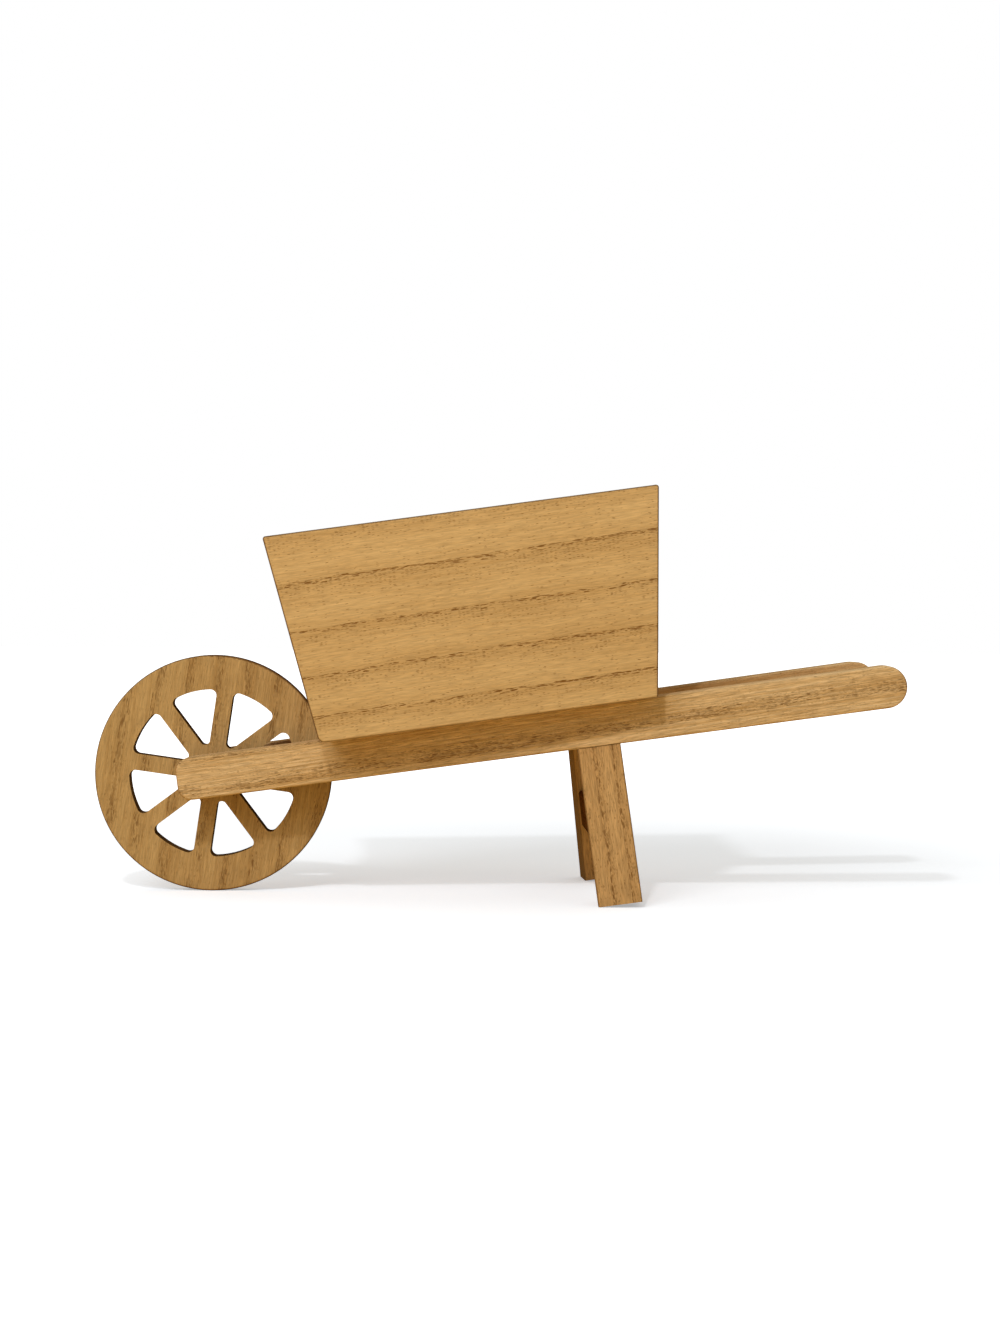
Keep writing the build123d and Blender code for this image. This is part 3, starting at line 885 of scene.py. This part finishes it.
point_length = reckon("MULTIPLY", size["Core diameter"], point_share)
core_length = reckon("SUBTRACT", size["Length"], reckon("ADD", head_depth, point_length))
core_end = reckon("ADD", head_depth, core_length)
core = lowered(cone(core_sides, core_radius, core_radius, core_length), core_end)
point = lowered(cone(core_sides, core_radius, tip_radius, point_length), size["Length"])
thread_length = reckon("SUBTRACT", core_length, reckon("MULTIPLY", size["Pitch"], thread_clear))
spiral = place(screw_tree, "GeometryNodeCurveSpiral", {
    "Resolution": spiral_steps,
    "Rotations": reckon("DIVIDE", thread_length, size["Pitch"]),
    "Start Radius": core_radius,
    "End Radius": core_radius,
    "Height": thread_length,
})
crest = reckon("SUBTRACT", thread_radius, core_radius)
profile = place(screw_tree, "GeometryNodeCurvePrimitiveCircle", {"Resolution": thread_sides, "Radius": crest})
thread = place(screw_tree, "GeometryNodeCurveToMesh", {
    "Curve": spiral.outputs[0],
    "Profile Curve": profile.outputs["Curve"],
    "Fill Caps": True,
})
thread_drop = reckon("SUBTRACT", core_end, reckon("MULTIPLY", size["Pitch"], thread_start))
joined = screw_tree.nodes.new("GeometryNodeJoinGeometry")
for part in (punched.outputs["Mesh"], core, point, lowered(thread.outputs[0], thread_drop)):
    screw_tree.links.new(part, joined.inputs[0])
print("countersunk_screws has", len(screw_tree.nodes), "nodes so far")

# %% [markdown]
# Instance on Points puts a copy on each point, square to the tray floor and turned at random about its own
# axis. Realize Instances makes plain mesh of the copies.

# %% Geometry Nodes: copies on the points
most_turn = (0, 0, 1.5)

turn_range = {"Min": (0, 0, 0), "Max": most_turn, "Seed": size["Seed"]}
spin = place(screw_tree, "FunctionNodeRandomValue", turn_range, data_type="FLOAT_VECTOR")
along_z = {"axis": "Z", "pivot_axis": "AUTO"}
upright = place(screw_tree, "FunctionNodeAlignRotationToVector", {"Vector": deck_up}, **along_z)
turned = place(screw_tree, "FunctionNodeRotateRotation", {
    "Rotation": upright.outputs[0],
    "Rotate By": spin.outputs[0],
}, rotation_space="LOCAL")
copies = place(screw_tree, "GeometryNodeInstanceOnPoints", {
    "Points": size["Points"],
    "Instance": joined.outputs[0],
    "Rotation": turned.outputs[0],
})
real = place(screw_tree, "GeometryNodeRealizeInstances", {"Geometry": copies.outputs[0]})
plated = place(screw_tree, "GeometryNodeSetMaterial", {"Geometry": real.outputs[0], "Material": zinc})
screw_tree.links.new(plated.outputs[0], leave.inputs["Screws"])
print("countersunk_screws has", len(screw_tree.nodes), "nodes")

# %% [markdown]
# Four bare points carry the tree as a modifier. Its result is kept as plain mesh, rides with the chassis
# and stands in for the plain screws.

# %% Set the screws
screw_seed = 7
point_mesh = bpy.data.meshes.new("screw_points")
point_mesh.from_pydata(screw_tops, [], [])
screws = bpy.data.objects.new("tray_screws_detailed", point_mesh)
scene.collection.objects.link(screws)
maker = screws.modifiers.new("countersunk_screws", "NODES")
maker.node_group = screw_tree
for label, value in {**screw_sizes, "Seed": screw_seed}.items():
    maker[screw_sockets[label].identifier] = value
made = screws.evaluated_get(bpy.context.evaluated_depsgraph_get())
screw_mesh = bpy.data.meshes.new_from_object(made)
screws.modifiers.clear()
screws.data = screw_mesh
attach(screws, "chassis")
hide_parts("tray_screws")
print("screws made of", len(screw_mesh.polygons), "faces")

# %% [markdown]
# ## The floor
#
# The light that the floor throws back is warm, as off a wooden table, and that is what makes shaded wood
# look brown and not grey. To the camera the floor is plain white, because part of its brightness is added
# for the rays that show it directly. The added part is weakest where the shadow falls, so the shadow keeps
# its depth there and thins out towards its far end.

# %% Floor
floor_half = 6.0
warm_floor, pale_floor, white = (0.84, 0.60, 0.22), (0.86, 0.91, 0.98), (1.0, 1.0, 1.0)
shadow_middle = (0.03, 0.12, 0.0)
glow_near, glow_far = 0.12, 0.7
glow_least, glow_full = 0.37, 1.0

corners = [(x * floor_half, y * floor_half, 0) for x, y in ((-1, -1), (1, -1), (1, 1), (-1, 1))]
floor_mesh = bpy.data.meshes.new("floor")
floor_mesh.from_pydata(corners, [], [(0, 1, 2, 3)])
floor = bpy.data.objects.new("floor", floor_mesh)
scene.collection.objects.link(floor)


def seen_directly(tree):
    """1 for rays that show the background: from the camera, off gloss or through glass."""
    path = tree.nodes.new("ShaderNodeLightPath")
    shown = calc(tree, "MAXIMUM", path.outputs["Is Camera Ray"], path.outputs["Is Glossy Ray"])
    return calc(tree, "MAXIMUM", shown, path.outputs["Is Transmission Ray"])


floor_material = bpy.data.materials.new("pale_floor")
floor_material.use_nodes = True
tree = floor_material.node_tree
tree.nodes.clear()
warm = place(tree, "ShaderNodeBsdfDiffuse", {"Color": opaque(warm_floor)})
own_place = tree.nodes.new("ShaderNodeTexCoord").outputs["Object"]
from_shadow = {0: own_place, 1: shadow_middle}
distance = place(tree, "ShaderNodeVectorMath", from_shadow, operation="DISTANCE").outputs["Value"]
added = ease(tree, distance, glow_near, glow_far, glow_least, glow_full)
glow = place(tree, "ShaderNodeEmission", {"Color": opaque(white), "Strength": added})
pale = place(tree, "ShaderNodeBsdfDiffuse", {"Color": opaque(pale_floor)})
shown = place(tree, "ShaderNodeAddShader", {0: glow.outputs[0], 1: pale.outputs[0]})
choice = {0: seen_directly(tree), 1: warm.outputs[0], 2: shown.outputs[0]}
either = place(tree, "ShaderNodeMixShader", choice)
place(tree, "ShaderNodeOutputMaterial", {"Surface": either.outputs[0]})
floor_mesh.materials.append(floor_material)
print("floor is", 2 * floor_half, "m wide")

# %% [markdown]
# ## The light
#
# A small lamp up to the left of the camera throws a clear shadow back under the tray, and a wide soft box
# next to it softens every edge of that shadow. A weak lamp behind lights the sides that the camera doesn't
# see. Disks suit all three, because a lamp's outline shows in the soft edge of its shadow.

# %% Lamps
lamp_aim = Vector((0, 0, 0.09))
lamps = {
    "key_lamp": (0.1, 6.2, Vector((-0.328, -1.108, 1.168))),
    "soft_box": (0.8, 7.2, Vector((-0.72, -1.08, 1.02))),
    "back_fill": (1.8, 5.0, Vector((0.7, 1.5, 1.2))),
}
for name, (width, power, spot) in lamps.items():
    lamp_data = bpy.data.lights.new(name, "AREA")
    lamp_data.shape = "DISK"
    lamp_data.size = width
    lamp_data.energy = power
    lamp = bpy.data.objects.new(name, lamp_data)
    scene.collection.objects.link(lamp)
    lamp.location = spot
    lamp.rotation_euler = (lamp_aim - spot).to_track_quat("-Z", "Y").to_euler()
print("lamps:", sorted(lamps))

# %% [markdown]
# The sky around gives the rest of the light. It is even and a little warm, because a picture of a room would
# put its own colours into the wood. Where it shows directly it is white.

# %% Sky
sky_tone, sky_strength = (1.0, 0.96, 0.87), 0.39

world = bpy.data.worlds.new("studio")
scene.world = world
world.use_nodes = True
tree = world.node_tree
showing = seen_directly(tree)
sky = tree.nodes["Background"]
tree.links.new(blend(tree, showing, sky_tone, white), sky.inputs["Color"])
tree.links.new(ease(tree, showing, 0.0, 1.0, sky_strength, 1.0), sky.inputs["Strength"])
print("sky lights the wood at", sky_strength, "and shows as white")

# %% [markdown]
# ## Sizes
#
# The dressed pieces have to fill the same box as the solids.

# %% End
print("scene ready")
